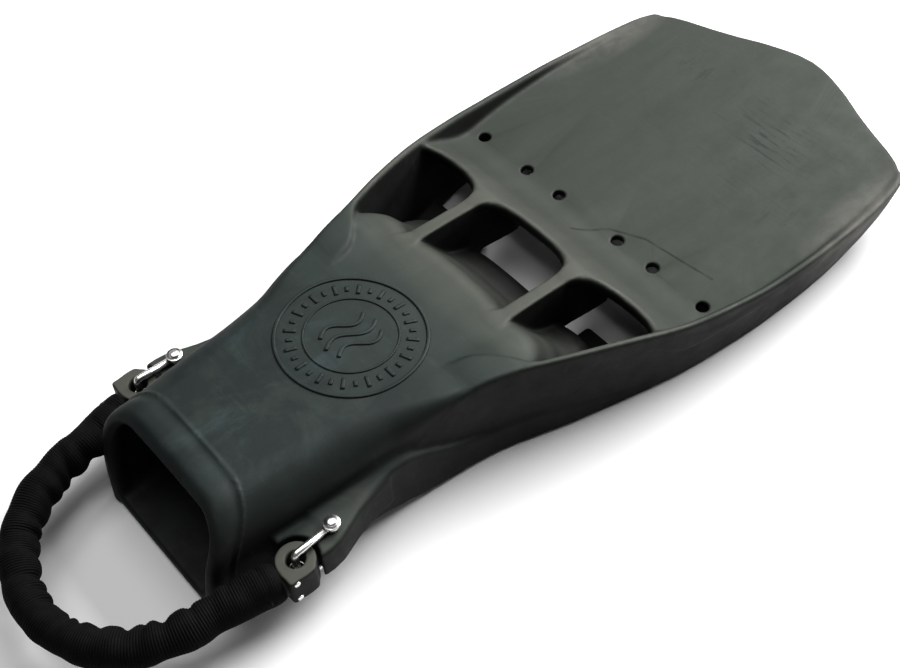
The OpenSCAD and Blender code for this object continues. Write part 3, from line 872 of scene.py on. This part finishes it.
def strap_path(pitch, back):
    """Middle line of the heel strap, from back behind the left eye to back behind the right one."""
    tilt = np.array([0, math.cos(DROOP), math.sin(DROOP)])
    centre = np.array([0, LOOP_S, LOOP_Z])
    start = EYE - [0, back, 0]
    bend = np.array([LOOP_R, LOOP_S, LOOP_Z])
    arm = [start + (bend - start) * t for t in np.linspace(0, 1, 40)]
    half = [centre + LOOP_R * (math.cos(t) * np.array([1, 0, 0]) - math.sin(t) * tilt)
            for t in np.linspace(0, math.pi / 2, 100)[1:]]
    right = np.array(arm + half)
    path = np.concatenate([right * [-1, 1, 1], right[-2::-1]])
    d = np.concatenate([[0], np.cumsum(np.linalg.norm(np.diff(path, axis=0), axis=1))])
    t = np.linspace(0, d[-1], int(d[-1] / pitch) + 1)
    q = np.stack([np.interp(t, d, path[:, i]) for i in range(3)], 1)
    # soften the two bends; the ends are carried on by their mirror points meanwhile
    reach = 60
    k = np.exp(-0.5 * (np.arange(-reach, reach + 1) * pitch / 5.0) ** 2)
    k /= k.sum()
    e = np.concatenate([q[0] + (q[0] - q[reach:0:-1]), q, q[-1] + (q[-1] - q[-2:-reach - 2:-1])])
    return np.stack([np.convolve(e[:, i], k, mode="valid") for i in range(3)], 1), t


def across(path):
    """Directions along a path, and upward and sideways across it."""
    d = np.gradient(path, axis=0)
    d /= np.linalg.norm(d, axis=1)[:, None]
    up = np.array([0, 0, 1.0])
    n = up - d * (d @ up)[:, None]
    n /= np.linalg.norm(n, axis=1)[:, None]
    return d, n, np.cross(d, n)


def wander(rng, length, wave):
    """A smooth random line: a few sine waves about the given wavelength."""
    t = np.linspace(0, length, 2000)
    v = sum(rng.uniform(0.6, 1)
            * np.sin(2 * math.pi * t / (wave * rng.uniform(0.7, 1.5)) + rng.uniform(0, 6.3))
            for _ in range(5))
    v /= np.abs(v).max()
    return lambda q: np.interp(q, t, v)


rng = np.random.default_rng(7)
path, along = strap_path(0.4, 13.0)
length = along[-1]
d, n, b = across(path)
count = 84
phi = np.linspace(0, 2 * math.pi, count, endpoint=False)
inner_side = 0.5 - 0.5 * np.sin(phi)
# the second line is drawn only to keep the order of the random numbers
bulge, _, shift_n, shift_b = (wander(rng, length, w) for w in (26, 30, 34, 40))
# loose folds: place along, place round, width along, height, width round
folds = [(rng.uniform(6, length - 6), rng.uniform(0, 2 * math.pi), rng.uniform(4.5, 8),
          rng.uniform(0.5, 1.25), rng.uniform(0.9, 1.7)) for _ in range(64)]
# gathers that run round the sleeve: place along, width, depth
gather = [(c + rng.uniform(-2.5, 2.5), rng.uniform(1.8, 3.2), rng.uniform(0.6, 1.35))
          for c in np.arange(9, length - 6, 14.5)]
rings = []
for i, t in enumerate(along):
    edge = min(t, length - t)
    r = np.full(count, 11.6 + 0.55 * bulge(t))
    for c, w, k in gather:
        c2 = c + 3.2 * np.sin(phi + c)
        r -= k * (0.25 + 2.3 * inner_side ** 2) * np.exp(-0.5 * ((t - c2) / w) ** 2)
    for c, p, w, k, wide in folds:
        dp = np.angle(np.exp(1j * (phi - p)))
        r += (k * (0.3 + 0.9 * inner_side)
              * np.exp(-0.5 * ((t - c - 2.0 * dp) / w) ** 2 - 0.5 * (dp / wide) ** 2))
    r += 0.13 * np.sin(2 * math.pi * (t + 0.6 * np.sin(phi + t / 31)) / RIB_PITCH)
    r *= 1 - 0.10 * math.exp(-edge / 3.0)
    r = np.minimum(r, 13.9)
    ease = min(1, edge / 30)
    o = path[i] + n[i] * 0.9 * shift_n(t) * ease + b[i] * 0.6 * shift_b(t) * ease
    rings.append(o + r[:, None] * (np.cos(phi)[:, None] * n[i] + np.sin(phi)[:, None] * b[i]))


def lips(end, outward):
    """Two smaller rings that draw the sleeve's end in on the strap end's neck."""
    return [path[end] + (rings[end] - path[end]) * k + d[end] * outward * q
            for k, q in ((0.93, 0.3), (0.84, 0.1))]


rings = lips(0, -1)[::-1] + rings + lips(-1, 1)
ribs = np.concatenate([[0, 0], along, [length, length]]) / RIB_PITCH
v, f = ring_mesh(rings)
sleeve = make("heel_sleeve", v, f, None, CLOTH,
              ["sleeve_left", "sleeve_right", "sleeve_rear"])
# UV: ribs along the sleeve, and one turn round it, closed without a jump back to 0
loops = np.empty(len(sleeve.data.loops), int)
sleeve.data.loops.foreach_get("vertex_index", loops)
ring_i, side_i = (loops // count).reshape(-1, 4), (loops % count).reshape(-1, 4)
wrap = (side_i == 0) & (side_i.max(1) == count - 1)[:, None]
turns = np.where(wrap, 1.0, side_i / count)
uv = sleeve.data.uv_layers.new(name="sleeve")
uv.data.foreach_set("uv", np.stack([ribs[ring_i], turns], 2).ravel().astype(np.float32))

# the coil inside: pitch, radius to the middle of the wire, and the wire's radius
COIL_PITCH, COIL_R, WIRE_R = 2.35, 6.3, 1.0
path, along = strap_path(0.16, 12.0)
_, n, b = across(path)
turn = (2 * math.pi * along / COIL_PITCH)[:, None]
helix = path + COIL_R * (np.cos(turn) * n + np.sin(turn) * b)
v, f = tube(helix, WIRE_R, 6)
spring = make("coil_spring", v, f, None, WIRE,
              ["spring_left", "spring_right", "spring_rear"])
for soft in (sleeve, spring):
    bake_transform(soft)

# ---------------------------------------------------------------- floor, light and camera


def floor_sheet(half=4, n=60):
    """A pale floor, n points each way and just under the fin."""
    g = np.linspace(-half, half, n)
    x, y = np.meshgrid(g, g, indexing="ij")
    p = np.stack([x.ravel(), y.ravel(), np.full(x.size, -0.0004)], 1)
    i, j = np.meshgrid(np.arange(n - 1), np.arange(n - 1), indexing="ij")
    a = (i * n + j).ravel()
    faces = np.stack([a, a + n, a + n + 1, a + 1], 1)
    mesh = bpy.data.meshes.new("floor")
    mesh.from_pydata(p.tolist(), [], faces.tolist())
    obj = bpy.data.objects.new("floor", mesh)
    bpy.context.scene.collection.objects.link(obj)
    m = Nodes("pale_floor")
    obj.data.materials.append(m.out(m.mix(m.noise(2, 2), (0.53, 0.53, 0.53), (0.56, 0.56, 0.56)), 0.9))


floor_sheet()
world = bpy.data.worlds.new("studio")
bpy.context.scene.world = world
world.use_nodes = True
sky = world.node_tree.nodes["Background"].inputs
sky["Color"].default_value = (1, 1, 1, 1)
sky["Strength"].default_value = 0.11


def lamp(name, at, to, size, watts):
    """A soft box at one point, facing another."""
    light = bpy.data.lights.new(name, "AREA")
    light.shape = "RECTANGLE"
    light.size, light.size_y = size
    light.energy = watts
    obj = bpy.data.objects.new(name, light)
    obj.location = at
    obj.rotation_euler = (Vector(to) - Vector(at)).to_track_quat("-Z", "Y").to_euler()
    bpy.context.scene.collection.objects.link(obj)


lamp("key_soft", (0.0, 3.1, 2.6), (0, 0, 0.03), (2.8, 1.8), 340)
lamp("top_soft", (-0.5, 0.0, 2.5), (0, 0, 0.03), (2.2, 2.2), 60)
lamp("low_rim", (1.1, 3.2, 0.55), (0, 0.25, 0.03), (0.8, 0.5), 60)

# the photograph's camera: its turn and its tilt down, in a frame pitched by PITCH against the floor
TURN, TILT, PITCH = math.radians(49.4837), math.radians(50.1923), math.radians(2.78)
CAMERA_AT = (0.4676, -0.38115, 0.7751)
right = np.array([math.cos(TURN), math.sin(TURN), 0])
facing = np.array([-math.sin(TURN), math.cos(TURN), 0])
up = np.array([0, 0, 1])
ahead = facing * math.cos(TILT) - up * math.sin(TILT)
over = facing * math.sin(TILT) + up * math.cos(TILT)
level = np.array([[1, 0, 0], [0, math.cos(PITCH), math.sin(PITCH)],
                  [0, -math.sin(PITCH), math.cos(PITCH)]])
pose = np.eye(4)
pose[:3, :3] = np.stack([level @ right, level @ over, -(level @ ahead)], 1)
pose[:3, 3] = CAMERA_AT
cam = bpy.data.cameras.new("camera")
cam.sensor_width = 36
cam.lens = 55.97
cam.clip_start = 0.02
camera = bpy.data.objects.new("camera", cam)
camera.matrix_world = Matrix(pose.tolist())
bpy.context.scene.collection.objects.link(camera)
bpy.context.scene.camera = camera
bpy.context.scene.view_settings.view_transform = "Standard"
bpy.context.scene.view_settings.look = "Medium High Contrast"
